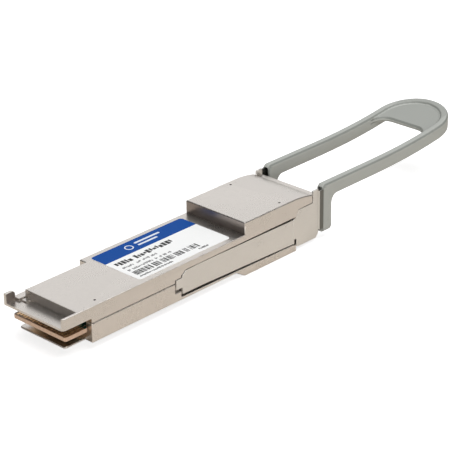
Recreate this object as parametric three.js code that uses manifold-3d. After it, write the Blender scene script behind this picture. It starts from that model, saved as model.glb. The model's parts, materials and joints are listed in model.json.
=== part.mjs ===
// Pluggable optical transceiver module: die-cast shells round a circuit board with a card edge,
// two optical subassemblies, a duplex receptacle, and a spring-loaded release slider with a pull tab.
// Millimetres, +Z up. Stations along X are counted from the front of the nose, and the whole
// module is then shifted so that the origin lies on the flat underside, DATUM_X behind the nose.
import * as THREE from 'three';
import { mergeVertices } from 'three/addons/utils/BufferGeometryUtils.js';
import Module from 'manifold-3d';

const wasm = await Module();
wasm.setup();

// Whole module
const DATUM_X = 31;
const HALF_WIDTH = 9.175;
const BODY_TOP = 8.5;
const SEAM_LOW = 4.54;
const SEAM_HIGH = 4.66;
const OUTSIDE = 12;

// Nose of the upper shell
const NOSE_UNDER = 5.75;
const NOSE_PLATE_TOP = 6.33;
const NOSE_PLATE_REAR = 4.33;
const NOSE_CORNER_R = 1;
const NEAR_RIDGE_Y = -8.6;
const EAR = { length: 2.55, innerY: 8.375, cornerR: 0.85 };
const KEY_NOTCH = { end: 21.67, innerY: 7.25, floor: 6.9 };
const NOSE_LUG = { x: 3, centres: [6.2, -7.95], halfWidth: 0.75, height: 0.3 };

// Shell walls and head
const LOWER_FRONT = 8.06;
const FRONT_WALL_END = 9.5;
const CAVITY_HALF = 7.2;
const CAVITY_TOP = 7.4;
const CAVITY_FLOOR = 1;
const HEAD = { rampFront: 52, front: 54.8, rear: 77.7, top: 11.5, bend: 70.6, rearTop: 10.6, bottom: -1.65 };
const HEAD_CAVITY = { front: 56, half: 7.6, top: 10.4, rearTop: 9.5, floor: -0.6 };
const COLLAR = { rear: 79.8, half: 8.3, top: 10.2 };
const HEAD_RELIEF = { start: 72.2, under: 0.35, floor: 1.35, floorStart: 71.2 };
const PIN_HOLE_R = 0.3;
const PIN_HOLE_DEPTH = 0.7;
const PIN_HOLES = [
  { x: 10.8, y: -7.3, face: BODY_TOP }, { x: 68, y: -7.6, face: HEAD.top }, { x: 68, y: 7.6, face: HEAD.top },
];
const TONGUE = { front: 2.3, nearY: -6.9, farY: 7.4, thick: 0.5, cornerR: 0.8 };

// Pockets in the sides for the slider arms and bracket
const POCKET_FLOOR_Y = 8.35;
const POCKET = {
  front: 34.6, frontLow: 0.74, rearLow: 0.13, corner: 36,
  frontHigh: 6.88, frontRise: 5.9, rearHigh: 7,
};
const POCKET_GROOVE = { front: 35, rear: 71, depthY: 7.7, height: 0.75 };
const TIP_SLOT = { front: 32.7, low: 2.2, high: 5.4 };
const BRACKET_BAY = { front: 71.4, low: -0.02, top: 8.65, slantLow: 71.88, slantHigh: 72.78 };
const BEND_RELIEF = { front: 71.45, rear: 72.3, high: 1.35, depthY: 7.7 };

// Return springs in slots behind the arms
const SPRING = { front: 44.05, rear: 52.55, y: 7.65, z: 3.1, coilR: 0.48, wireR: 0.1, turns: 9 };
const SPRING_SLOT = { front: 43.2, rear: 52.65, innerY: 6.95, low: 2.4, high: 3.8 };
const SPRING_WALL = { front: 42.4, rear: 53.4, innerY: 6.25 };

// Circuit board and card edge
const BOARD = { front: 1.45, low: 2.5, high: 3.5, edgeHalf: 8.2, edgeEnd: 7.9, half: 6.95, rear: 53.2 };
const BOARD_CORNER_R = 0.6;
const SCREW_NOTCH = { front: 10.5, rear: 14.7, innerY: 4.7 };
const SPRING_NOTCH = { front: 42.1, rear: 53.3, innerY: 6 };
const CONTACT = { count: 19, pitch: 0.8, width: 0.56, front: 1.9, rear: 6.5, barRear: 6.9, thick: 0.05 };

// Optics
const LC = { pitch: 6.25, z: 4.4, portHalf: 2.35, latchHalf: 1.3, latchTop: 8.5 };
const RECEPTACLE = { front: 64, rear: 79.6, half: 7.5, low: 1.4, high: 9.3, portFloor: 68.5 };
const SLEEVE = { front: 65.1, rear: 73, outerR: 1.25, innerR: 0.63 };
const OPTIC = { front: 56.3, rear: 62, half: 2.2, barrelR: 1.5, barrelEnd: 64.8 };
const RETAINER = { front: 63.2, rear: 63.7, half: 7, low: -0.45, high: 9.2 };
const FLEX = { start: 50.4, halfWidth: 1.6, thick: 0.15, riseX: 56.2, top: 5.9 };

// Screws
const SCREW = { headR: 1.2, headH: 0.7, sink: 0.15, shankR: 0.55, tip: 5.9 };
const BOSS_R = 1.45;
const FRONT_SCREW = { x: 12.6, y: 6.2, face: 0 };
const REAR_SCREW = { x: 57.8, y: 6.85, face: HEAD.bottom };

// Label on the body's top
const LABEL = { front: 23.5, rear: 51.6, half: 7.75, cornerR: 0.8, thick: 0.08 };

// Release slider and pull tab
const PLATE = { inner: 8.5, outer: 8.95, tipBend: 41, tipEnd: 35.5, tipOut: 0.2 };
const PLATE_ROOT = { rear: 83.2, low: 1, high: 11 };
const STRAP = { front: 73.2, rear: 77.2, low: -0.78, high: -0.33 };
const TAB = {
  half: 9.55, thick: 2.1, height: 3.5, front: 80.95, legRear: 84.4, foot: 0.05, innerR: 1.9,
  level: 12, rise: 3.2, riseStart: 95, end: 134.6,
};
const TAB_LOOP = { centre: 124.95, openingEnd: 122.7, openingR: 3.5, webTop: 0.55, webThick: 1.3 };
const TAB_SLOT_GAP = 0.05;
const TAB_MOUTH = { depth: 1.1, innerY: 7.8, outerY: 9.2, top: 11.3 };

const metal = { color: 0xc9c2b8, roughness: 0.38, metalness: 1 };
const materials = {
  shell: new THREE.MeshStandardMaterial(metal),
  steel: new THREE.MeshStandardMaterial({ color: 0xcfcac2, roughness: 0.32, metalness: 1 }),
  screw: new THREE.MeshStandardMaterial({ color: 0x8c8a86, roughness: 0.4, metalness: 1 }),
  board: new THREE.MeshStandardMaterial({ color: 0x1d5a3c, roughness: 0.5, metalness: 0 }),
  gold: new THREE.MeshStandardMaterial({ color: 0xc79a4b, roughness: 0.3, metalness: 1 }),
  chip: new THREE.MeshStandardMaterial({ color: 0x1c1c1e, roughness: 0.6, metalness: 0 }),
  pad: new THREE.MeshStandardMaterial({ color: 0x8fa3b5, roughness: 0.9, metalness: 0 }),
  flex: new THREE.MeshStandardMaterial({ color: 0xb8742c, roughness: 0.5, metalness: 0 }),
  receptacle: new THREE.MeshStandardMaterial({ color: 0x2a2b2d, roughness: 0.55, metalness: 0 }),
  ceramic: new THREE.MeshStandardMaterial({ color: 0xf1efe8, roughness: 0.25, metalness: 0 }),
  gasket: new THREE.MeshStandardMaterial({ color: 0x55565a, roughness: 0.9, metalness: 0 }),
  label: new THREE.MeshStandardMaterial({ color: 0xf7f7f5, roughness: 0.55, metalness: 0 }),
  tab: new THREE.MeshStandardMaterial({ color: 0xa6a8a1, roughness: 0.6, metalness: 0 }),
};

// ---- solids from three.js geometry ----

function solidOf(geometry) {
  geometry.deleteAttribute('normal');
  geometry.deleteAttribute('uv');
  const merged = mergeVertices(geometry, 1e-5);
  const vertProperties = new Float32Array(merged.attributes.position.array);
  const triVerts = new Uint32Array(merged.index.array);
  return new wasm.Manifold(new wasm.Mesh({ numProp: 3, vertProperties, triVerts }));
}

function extruded(shape, length, curveSegments) {
  return new THREE.ExtrudeGeometry(shape, { depth: length, bevelEnabled: false, curveSegments });
}

// A shape drawn in (x, y), standing from z0 to z1.
function plan(shape, z0, z1, curveSegments = 8) {
  const geometry = extruded(shape, z1 - z0, curveSegments);
  geometry.translate(0, 0, z0);
  return solidOf(geometry);
}

// A shape drawn in (x, z), spanning the module's width between two y values in either order.
function side(shape, yA, yB, curveSegments = 8) {
  const low = Math.min(yA, yB);
  const high = Math.max(yA, yB);
  const geometry = extruded(shape, high - low, curveSegments);
  geometry.applyMatrix4(new THREE.Matrix4().set(1, 0, 0, 0, 0, 0, -1, high, 0, 1, 0, 0, 0, 0, 0, 1));
  return solidOf(geometry);
}

// A box between two corners, given in either order on each axis.
function block(xA, xB, yA, yB, zA, zB) {
  const geometry = new THREE.BoxGeometry(Math.abs(xB - xA), Math.abs(yB - yA), Math.abs(zB - zA));
  geometry.translate((xA + xB) / 2, (yA + yB) / 2, (zA + zB) / 2);
  return solidOf(geometry);
}

// An upright cylinder from z0 to z1.
function post(x, y, z0, z1, radius, segments = 20) {
  const geometry = new THREE.CylinderGeometry(radius, radius, z1 - z0, segments);
  geometry.rotateX(Math.PI / 2);
  geometry.translate(x, y, (z0 + z1) / 2);
  return solidOf(geometry);
}

// A cylinder lying along X from x0 to x1.
function rod(x0, x1, y, z, radius, segments = 24) {
  const geometry = new THREE.CylinderGeometry(radius, radius, x1 - x0, segments);
  geometry.rotateZ(Math.PI / 2);
  geometry.translate((x0 + x1) / 2, y, z);
  return solidOf(geometry);
}

function outline(points) {
  return new THREE.Shape(points.map(([u, v]) => new THREE.Vector2(u, v)));
}

// A rectangle with one radius at all four corners.
function roundedRect(u0, v0, u1, v1, radius) {
  const shape = new THREE.Shape();
  shape.absarc(u1 - radius, v0 + radius, radius, -Math.PI / 2, 0);
  shape.absarc(u1 - radius, v1 - radius, radius, 0, Math.PI / 2);
  shape.absarc(u0 + radius, v1 - radius, radius, Math.PI / 2, Math.PI);
  shape.absarc(u0 + radius, v0 + radius, radius, Math.PI, Math.PI * 1.5);
  return shape;
}

function joined(solids) {
  return solids.reduce((whole, solid) => whole.add(solid));
}

function cut(solid, tools) {
  return tools.reduce((rest, tool) => rest.subtract(tool), solid);
}

const sides = [-1, 1];
const sideName = (s) => (s < 0 ? 'near' : 'far');

// ---- shells ----

// Side view of the upper shell: flat body, then the head, whose roof falls away to the rear.
function upperProfile() {
  const shape = new THREE.Shape();
  shape.moveTo(0, NOSE_UNDER);
  shape.lineTo(LOWER_FRONT, NOSE_UNDER);
  shape.lineTo(LOWER_FRONT, SEAM_HIGH);
  shape.lineTo(HEAD.rear, SEAM_HIGH);
  shape.lineTo(HEAD.rear, HEAD.rearTop);
  shape.quadraticCurveTo((HEAD.bend + HEAD.rear) / 2 + 0.6, HEAD.top, HEAD.bend, HEAD.top);
  shape.lineTo(HEAD.front, HEAD.top);
  shape.lineTo(HEAD.front, BODY_TOP);
  shape.lineTo(0, BODY_TOP);
  return shape;
}

// Plan of the module with the ridge's front corner rounded.
function bodyPlan() {
  const shape = new THREE.Shape();
  shape.absarc(NOSE_CORNER_R, -HALF_WIDTH + NOSE_CORNER_R, NOSE_CORNER_R, Math.PI, Math.PI * 1.5);
  shape.lineTo(HEAD.rear, -HALF_WIDTH);
  shape.lineTo(HEAD.rear, HALF_WIDTH);
  shape.lineTo(0, HALF_WIDTH);
  return shape;
}

// Slider pockets on both sides: the arm's bay with a deeper groove behind each long edge, the slot
// for its tip, the taller bracket bay and a hole behind the relief at the bend.
function sidePockets() {
  const { front, frontLow, rearLow, corner, frontHigh, rearHigh } = POCKET;
  const rear = BRACKET_BAY.front + 0.1;
  const armBay = outline([
    [front, frontLow], [rear, rearLow], [rear, rearHigh], [corner, frontHigh], [front, POCKET.frontRise],
  ]);
  const bracketBay = outline([
    [BRACKET_BAY.front, BRACKET_BAY.low], [HEAD.rear + 1, BRACKET_BAY.low],
    [HEAD.rear + 1, BRACKET_BAY.top], [BRACKET_BAY.slantHigh, BRACKET_BAY.top],
    [BRACKET_BAY.slantLow, rearHigh], [BRACKET_BAY.front, rearHigh],
  ]);
  const deep = POCKET_GROOVE;
  const slope = (rearLow - frontLow) / (rear - front);
  const grooveLow = (x) => frontLow + slope * (x - front);
  const grooveHigh = (x) => THREE.MathUtils.mapLinear(x, corner, rear, frontHigh, rearHigh);
  const grooves = [
    outline([
      [deep.front, grooveLow(deep.front)], [deep.rear, grooveLow(deep.rear)],
      [deep.rear, grooveLow(deep.rear) + deep.height], [deep.front, grooveLow(deep.front) + deep.height],
    ]),
    outline([
      [corner, grooveHigh(corner) - deep.height], [deep.rear, grooveHigh(deep.rear) - deep.height],
      [deep.rear, grooveHigh(deep.rear)], [corner, grooveHigh(corner)],
    ]),
  ];
  const bays = [];
  for (const s of sides) {
    const y0 = s * POCKET_FLOOR_Y;
    const y1 = s * OUTSIDE;
    bays.push(side(armBay, y0, y1));
    bays.push(side(bracketBay, y0, y1));
    bays.push(block(TIP_SLOT.front, front + 1, y0, y1, TIP_SLOT.low, TIP_SLOT.high));
    grooves.forEach((groove) => bays.push(side(groove, s * deep.depthY, y1)));
    bays.push(block(BEND_RELIEF.front, BEND_RELIEF.rear, s * BEND_RELIEF.depthY, y1, BRACKET_BAY.low,
      BEND_RELIEF.high));
  }
  return bays;
}

function noseCuts() {
  const earCorner = new THREE.Shape();
  earCorner.moveTo(EAR.length - EAR.cornerR, BODY_TOP + 1);
  earCorner.lineTo(EAR.length - EAR.cornerR, BODY_TOP);
  earCorner.absarc(EAR.length - EAR.cornerR, BODY_TOP - EAR.cornerR, EAR.cornerR, Math.PI / 2, 0, true);
  earCorner.lineTo(EAR.length + 1, BODY_TOP - EAR.cornerR);
  earCorner.lineTo(EAR.length + 1, BODY_TOP + 1);
  return [
    block(-1, EAR.length, NEAR_RIDGE_Y, EAR.innerY, NOSE_PLATE_TOP, OUTSIDE),
    block(EAR.length - 0.5, NOSE_PLATE_REAR, NEAR_RIDGE_Y, KEY_NOTCH.innerY, NOSE_PLATE_TOP, OUTSIDE),
    block(EAR.length, KEY_NOTCH.end, KEY_NOTCH.innerY, OUTSIDE, KEY_NOTCH.floor, OUTSIDE),
    side(earCorner, EAR.innerY - 0.1, OUTSIDE),
  ];
}

// The narrower collar behind the head, which frames the ports.
function collar(z0, z1) {
  return block(HEAD.rear - 1, COLLAR.rear, -COLLAR.half, COLLAR.half, z0, z1);
}

function upperShell() {
  const head = new THREE.Shape();
  head.moveTo(HEAD_CAVITY.front, SEAM_LOW);
  head.lineTo(HEAD_CAVITY.front, HEAD_CAVITY.top);
  head.lineTo(HEAD.bend, HEAD_CAVITY.top);
  head.lineTo(HEAD.rear, HEAD_CAVITY.rearTop);
  head.lineTo(COLLAR.rear + 1, HEAD_CAVITY.rearTop);
  head.lineTo(COLLAR.rear + 1, SEAM_LOW);
  let shell = side(upperProfile(), -HALF_WIDTH, HALF_WIDTH).intersect(plan(bodyPlan(), 0, OUTSIDE + 1));
  shell = shell.add(collar(SEAM_HIGH, COLLAR.top));
  shell = cut(shell, [
    ...noseCuts(),
    block(FRONT_WALL_END, HEAD_CAVITY.front + 1, -CAVITY_HALF, CAVITY_HALF, SEAM_LOW, CAVITY_TOP),
    side(head, -HEAD_CAVITY.half, HEAD_CAVITY.half),
    ...sidePockets(),
    ...PIN_HOLES.map(({ x, y, face }) => post(x, y, face - PIN_HOLE_DEPTH, OUTSIDE + 1, PIN_HOLE_R, 12)),
  ]);
  for (const y of NOSE_LUG.centres) {
    shell = shell.add(block(NOSE_LUG.x, NOSE_PLATE_REAR + 0.5, y - NOSE_LUG.halfWidth,
      y + NOSE_LUG.halfWidth, NOSE_PLATE_TOP - 0.2, NOSE_PLATE_TOP + NOSE_LUG.height));
  }
  for (const s of sides) {
    shell = shell.add(post(FRONT_SCREW.x, s * FRONT_SCREW.y, SEAM_HIGH, CAVITY_TOP + 0.5, BOSS_R));
    shell = shell.add(post(REAR_SCREW.x, s * REAR_SCREW.y, SEAM_HIGH, HEAD_CAVITY.top + 0.5, BOSS_R));
  }
  return cut(shell, screwHoles(SCREW.shankR + 0.06, SEAM_LOW, SCREW.tip + 0.3));
}

function screwHoles(radius, z0, z1) {
  const holes = [];
  for (const screw of [FRONT_SCREW, REAR_SCREW]) {
    for (const s of sides) {
      holes.push(post(screw.x, s * screw.y, z0, z1, radius));
    }
  }
  return holes;
}

function lowerShell() {
  const profile = outline([
    [LOWER_FRONT, 0], [HEAD.rampFront, 0], [HEAD.front, HEAD.bottom],
    [HEAD_RELIEF.start, HEAD.bottom], [HEAD_RELIEF.start, HEAD_RELIEF.under],
    [HEAD.rear, HEAD_RELIEF.under], [HEAD.rear, SEAM_LOW], [LOWER_FRONT, SEAM_LOW],
  ]);
  const head = outline([
    [HEAD_CAVITY.front, HEAD_CAVITY.floor], [HEAD_RELIEF.floorStart, HEAD_CAVITY.floor],
    [HEAD_RELIEF.floorStart, HEAD_RELIEF.floor], [COLLAR.rear + 1, HEAD_RELIEF.floor],
    [COLLAR.rear + 1, SEAM_HIGH], [HEAD_CAVITY.front, SEAM_HIGH],
  ]);
  const headEnd = HEAD_CAVITY.front + 1;
  let shell = side(profile, -HALF_WIDTH, HALF_WIDTH).add(collar(HEAD_RELIEF.under, SEAM_LOW));
  shell = cut(shell, [
    block(FRONT_WALL_END, headEnd, -CAVITY_HALF, CAVITY_HALF, CAVITY_FLOOR, SEAM_HIGH),
    side(head, -HEAD_CAVITY.half, HEAD_CAVITY.half),
    block(LOWER_FRONT - 1, FRONT_WALL_END + 1, -CAVITY_HALF, CAVITY_HALF, BOARD.low - 0.3, SEAM_HIGH),
  ]);
  const tongue = roundedRect(TONGUE.front, TONGUE.nearY, LOWER_FRONT + 2, TONGUE.farY, TONGUE.cornerR);
  shell = shell.add(plan(tongue, 0, TONGUE.thick, 4));
  for (const s of sides) {
    const wallY = s * (CAVITY_HALF + 0.3);
    shell = joined([
      shell,
      block(SPRING_WALL.front, SPRING_WALL.rear, s * SPRING_WALL.innerY, wallY, 0.5, SEAM_LOW),
      block(20, 23, s * 6, wallY, 0.5, BOARD.low - 0.05),
      block(35, 38, s * 6, wallY, 0.5, BOARD.low - 0.05),
      post(FRONT_SCREW.x, s * FRONT_SCREW.y, 0.5, SEAM_LOW, BOSS_R),
      post(REAR_SCREW.x, s * REAR_SCREW.y, HEAD.bottom + 0.5, SEAM_LOW, BOSS_R),
    ]);
  }
  shell = cut(shell, [...sidePockets(), ...screwHoles(SCREW.shankR + 0.15, -3, SEAM_HIGH)]);
  for (const s of sides) {
    const slot = SPRING_SLOT;
    shell = cut(shell, [
      block(slot.front, slot.rear, s * slot.innerY, s * OUTSIDE, slot.low, slot.high),
      ...[FRONT_SCREW, REAR_SCREW].map((screw) => post(screw.x, s * screw.y, screw.face - 1,
        screw.face + SCREW.sink + SCREW.headH, SCREW.headR + 0.1)),
    ]);
  }
  return shell;
}

function screwSolid(screw, s) {
  const underHead = screw.face + SCREW.sink;
  const headTop = underHead + SCREW.headH - 0.02;
  const slotDepth = underHead + 0.4;
  const body = joined([
    post(screw.x, s * screw.y, underHead, headTop, SCREW.headR, 24),
    post(screw.x, s * screw.y, headTop - 0.1, SCREW.tip, SCREW.shankR, 16),
  ]);
  const reach = 0.75;
  const halfSlot = 0.16;
  return cut(body, [
    block(screw.x - reach, screw.x + reach, s * screw.y - halfSlot, s * screw.y + halfSlot, -3, slotDepth),
    block(screw.x - halfSlot, screw.x + halfSlot, s * screw.y - reach, s * screw.y + reach, -3, slotDepth),
  ]);
}

// ---- board and electronics ----

function boardSolid() {
  const front = roundedRect(BOARD.front, -BOARD.edgeHalf, BOARD.edgeEnd, BOARD.edgeHalf, BOARD_CORNER_R);
  let board = plan(front, BOARD.low, BOARD.high, 4);
  board = board.add(block(BOARD.edgeEnd - 1, BOARD.rear, -BOARD.half, BOARD.half, BOARD.low, BOARD.high));
  for (const notch of [SCREW_NOTCH, SPRING_NOTCH]) {
    for (const s of sides) {
      board = board.subtract(block(notch.front, notch.rear, s * notch.innerY, s * OUTSIDE, 0, OUTSIDE));
    }
  }
  return board;
}

// One row of card-edge contacts, held together by the bar they are plated from.
function contactRow(z0) {
  const last = (CONTACT.count - 1) / 2;
  const reach = last * CONTACT.pitch + CONTACT.width / 2;
  const z1 = z0 + CONTACT.thick;
  const pieces = [block(CONTACT.rear - 0.1, CONTACT.barRear, -reach, reach, z0, z1)];
  for (let i = -last; i <= last; i += 1) {
    const y = i * CONTACT.pitch;
    pieces.push(block(CONTACT.front, CONTACT.rear, y - CONTACT.width / 2, y + CONTACT.width / 2, z0, z1));
  }
  return joined(pieces);
}

function flexSolid(s) {
  const shape = new THREE.Shape();
  shape.moveTo(FLEX.start, BOARD.high);
  shape.lineTo(BOARD.rear - 0.1, BOARD.high);
  shape.quadraticCurveTo(FLEX.riseX, BOARD.high, FLEX.riseX, BOARD.high + 1.4);
  shape.lineTo(FLEX.riseX, FLEX.top);
  shape.lineTo(FLEX.riseX - FLEX.thick, FLEX.top);
  shape.lineTo(FLEX.riseX - FLEX.thick, BOARD.high + 1.4);
  shape.quadraticCurveTo(FLEX.riseX - FLEX.thick, BOARD.high + FLEX.thick, BOARD.rear - 0.1,
    BOARD.high + FLEX.thick);
  shape.lineTo(FLEX.start, BOARD.high + FLEX.thick);
  const y = s * LC.pitch / 2;
  return side(shape, y - FLEX.halfWidth, y + FLEX.halfWidth, 6);
}

// ---- optics ----

function opticalSubassembly(s) {
  const y = s * LC.pitch / 2;
  return joined([
    block(OPTIC.front, OPTIC.rear, y - OPTIC.half, y + OPTIC.half, LC.z - OPTIC.half, LC.z + OPTIC.half),
    rod(OPTIC.rear - 0.2, RETAINER.front - 0.3, y, LC.z, OPTIC.barrelR + 0.5),
    rod(OPTIC.rear - 0.2, OPTIC.barrelEnd, y, LC.z, OPTIC.barrelR),
  ]);
}

function receptacleSolid() {
  const { front, rear, half, low, high, portFloor } = RECEPTACLE;
  const tools = [];
  for (const s of sides) {
    const y = s * LC.pitch / 2;
    tools.push(block(portFloor, rear + 1, y - LC.portHalf, y + LC.portHalf, LC.z - LC.portHalf,
      LC.z + LC.portHalf));
    tools.push(block(portFloor, rear + 1, y - LC.latchHalf, y + LC.latchHalf, LC.z, LC.latchTop));
    tools.push(rod(front - 1, front + 1, y, LC.z, OPTIC.barrelR + 0.1));
    tools.push(rod(front, portFloor + 1, y, LC.z, SLEEVE.outerR + 0.05));
  }
  // A rib on top keys the receptacle under the head's roof.
  const rib = block(front + 2, rear - 4, -1, 1, high - 0.1, high + 0.4);
  return cut(block(front, rear, -half, half, low, high), tools).add(rib);
}

function sleeveSolid(s) {
  const { front, rear, outerR, innerR } = SLEEVE;
  const profile = [[innerR, front], [outerR, front], [outerR, rear], [innerR, rear], [innerR, front]];
  const geometry = new THREE.LatheGeometry(profile.map(([r, x]) => new THREE.Vector2(r, x)), 28);
  geometry.rotateZ(-Math.PI / 2);
  geometry.translate(0, s * LC.pitch / 2, LC.z);
  return solidOf(geometry);
}

function retainerSolid() {
  const { front, rear, half, low, high } = RETAINER;
  const holes = sides.map((s) => rod(front - 1, rear + 1, s * LC.pitch / 2, LC.z, OPTIC.barrelR + 0.1));
  return cut(block(front, rear, -half, half, low, high), holes);
}

// ---- release slider ----

// Side view of one flank: tip, long arm, and the bracket that stands up behind the head.
function flankProfile() {
  return outline([
    [33, 2.9], [34.9, 2.9], [34.9, 1.28], [71.55, 0.25], [71.55, 1.35], [72.3, 1.35],
    [72.3, -0.5], [72.9, STRAP.low], [79.1, STRAP.low], [80, 0.3], [80, PLATE_ROOT.low],
    [PLATE_ROOT.rear, PLATE_ROOT.low], [PLATE_ROOT.rear, PLATE_ROOT.high], [80, PLATE_ROOT.high],
    [80, 11.35], [79.7, 11.5], [78.1, 11.4], [78, 8.5], [72.9, 8.5], [71.7, 6.4], [40, 6.75],
    [36.2, 6.75], [34.9, 5.8], [34.9, 5.24], [33, 5.24],
  ]);
}

// Plan of one flank: flat sheet with its tip set slightly outwards.
function flankPlan(s) {
  const { inner, outer, tipBend, tipEnd, tipOut } = PLATE;
  return outline([
    [32, s * (inner + tipOut)], [tipEnd, s * (inner + tipOut)], [tipBend, s * inner], [84, s * inner],
    [84, s * outer], [tipBend, s * outer], [tipEnd, s * (outer + tipOut)], [32, s * (outer + tipOut)],
  ]);
}

function sliderSolid() {
  const pieces = [block(STRAP.front, STRAP.rear, -PLATE.outer, PLATE.outer, STRAP.low, STRAP.high)];
  for (const s of sides) {
    pieces.push(side(flankProfile(), 0, s * OUTSIDE).intersect(plan(flankPlan(s), -3, OUTSIDE)));
    pieces.push(block(SPRING.front - 0.5, SPRING.front - 0.05, s * (SPRING_SLOT.innerY + 0.15),
      s * (PLATE.inner + 0.1), SPRING_SLOT.low + 0.2, SPRING_SLOT.high - 0.2));
  }
  return joined(pieces);
}

// Coil with closed ends, wound along X.
class SpringPath extends THREE.Curve {
  getPoint(t) {
    const angle = t * SPRING.turns * Math.PI * 2;
    const end = SPRING.wireR;
    const x = THREE.MathUtils.lerp(SPRING.front + end, SPRING.rear - end, t);
    return new THREE.Vector3(x, SPRING.coilR * Math.cos(angle), SPRING.coilR * Math.sin(angle));
  }
}

function springGeometry(s) {
  const wire = new THREE.Shape();
  wire.absarc(0, 0, SPRING.wireR, 0, Math.PI * 2);
  const geometry = new THREE.ExtrudeGeometry(wire, {
    steps: SPRING.turns * 8, curveSegments: 3, bevelEnabled: false, extrudePath: new SpringPath(),
  });
  geometry.translate(0, s * SPRING.y, SPRING.z);
  return geometry;
}

// ---- pull tab ----

// Height of the tab's top face: level over the legs, then a gentle rise to the loop's end.
function tabTop(x) {
  const run = Math.max(0, x - TAB.riseStart) / (TAB.end - TAB.riseStart);
  return TAB.level + TAB.rise * run ** 2.6;
}

function tabStations() {
  const stations = [];
  for (let x = 86.8; x < TAB.end; x += 3) {
    stations.push(x);
  }
  stations.push(TAB.end);
  return stations;
}

// Side view of a band that follows the tab's top face, from one depth below it to another.
function tabBand(fromDepth, toDepth, x0) {
  const stations = tabStations().filter((x) => x > x0);
  const points = [[x0, tabTop(x0) - fromDepth]];
  stations.forEach((x) => points.push([x, tabTop(x) - fromDepth]));
  stations.reverse().forEach((x) => points.push([x, tabTop(x) - toDepth]));
  points.push([x0, tabTop(x0) - toDepth]);
  return outline(points);
}

// Side view of leg and arm in one piece, with a rounded inner corner under the arm.
function tabProfile() {
  const under = tabTop(TAB.legRear) - TAB.height;
  const { innerR } = TAB;
  const shape = new THREE.Shape();
  shape.moveTo(TAB.front, TAB.foot);
  shape.lineTo(TAB.legRear - 0.6, TAB.foot);
  shape.lineTo(TAB.legRear, TAB.foot + 0.6);
  shape.absarc(TAB.legRear + innerR, under - innerR, innerR, Math.PI, Math.PI / 2, true);
  tabStations().forEach((x) => shape.lineTo(x, tabTop(x) - TAB.height));
  tabStations().reverse().forEach((x) => shape.lineTo(x, tabTop(x)));
  shape.lineTo(TAB.front + 0.8, tabTop(TAB.front));
  shape.lineTo(TAB.front, tabTop(TAB.front) - 0.8);
  return shape;
}

// Plan of the tab's loop: two arms and a half-round end, less the opening for the finger.
function loopPlan() {
  const inner = TAB.half - TAB.thick;
  const shape = new THREE.Shape();
  shape.moveTo(TAB.front, -TAB.half);
  shape.lineTo(TAB_LOOP.centre, -TAB.half);
  shape.absarc(TAB_LOOP.centre, 0, TAB.half, -Math.PI / 2, Math.PI / 2);
  shape.lineTo(TAB.front, TAB.half);
  shape.lineTo(TAB.front, inner);
  const r = TAB_LOOP.openingR;
  shape.absarc(TAB_LOOP.openingEnd - r, inner - r, r, Math.PI / 2, 0, true);
  shape.absarc(TAB_LOOP.openingEnd - r, -inner + r, r, 0, -Math.PI / 2, true);
  shape.lineTo(TAB.front, -inner);
  return shape;
}

// Plan of the thin web inside the loop's round end, from where the opening's corners begin.
function webPlan() {
  const radius = TAB.half - TAB.thick;
  const start = TAB_LOOP.openingEnd - TAB_LOOP.openingR;
  const shape = new THREE.Shape();
  shape.moveTo(start, -radius);
  shape.lineTo(TAB_LOOP.centre, -radius);
  shape.absarc(TAB_LOOP.centre, 0, radius, -Math.PI / 2, Math.PI / 2);
  shape.lineTo(start, radius);
  return shape;
}

function pullTabSolid() {
  const webLow = TAB_LOOP.webTop + TAB_LOOP.webThick;
  const inner = TAB.half - TAB.thick;
  const web = plan(webPlan(), 0, 20, 12);
  const webStart = TAB_LOOP.openingEnd - TAB_LOOP.openingR;
  const tab = side(tabProfile(), -TAB.half, TAB.half).intersect(plan(loopPlan(), -1, 20, 16));
  const tools = [
    side(tabBand(-2, TAB_LOOP.webTop, webStart), -inner, inner).intersect(web),
    side(tabBand(webLow, TAB.height + 2, webStart), -inner, inner).intersect(web),
  ];
  const g = TAB_SLOT_GAP;
  for (const s of sides) {
    tools.push(block(TAB.front - 1, PLATE_ROOT.rear + g, s * (PLATE.inner - g), s * (PLATE.outer + g),
      PLATE_ROOT.low - g, PLATE_ROOT.high + g));
    tools.push(block(TAB.front - 1, TAB.front + TAB_MOUTH.depth, s * TAB_MOUTH.innerY,
      s * TAB_MOUTH.outerY, PLATE_ROOT.low - g, TAB_MOUTH.top));
  }
  return cut(tab, tools);
}

// ---- assembly ----

const transceiver = new THREE.Group();
transceiver.position.x = -DATUM_X;

function addMesh(name, geometry, material) {
  const mesh = new THREE.Mesh(geometry, material);
  mesh.name = name;
  transceiver.add(mesh);
}

function addSolid(name, solid, material) {
  const { vertProperties, triVerts } = solid.getMesh();
  const geometry = new THREE.BufferGeometry();
  geometry.setAttribute('position', new THREE.BufferAttribute(new Float32Array(vertProperties), 3));
  geometry.setIndex(new THREE.BufferAttribute(new Uint32Array(triVerts), 1));
  geometry.computeVertexNormals();
  addMesh(name, geometry, material);
}

addSolid('upper_shell', upperShell(), materials.shell);
addSolid('lower_shell', lowerShell(), materials.shell);
addSolid('main_board', boardSolid(), materials.board);
addSolid('card_contacts_top', contactRow(BOARD.high), materials.gold);
addSolid('card_contacts_bottom', contactRow(BOARD.low - CONTACT.thick), materials.gold);

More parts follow.
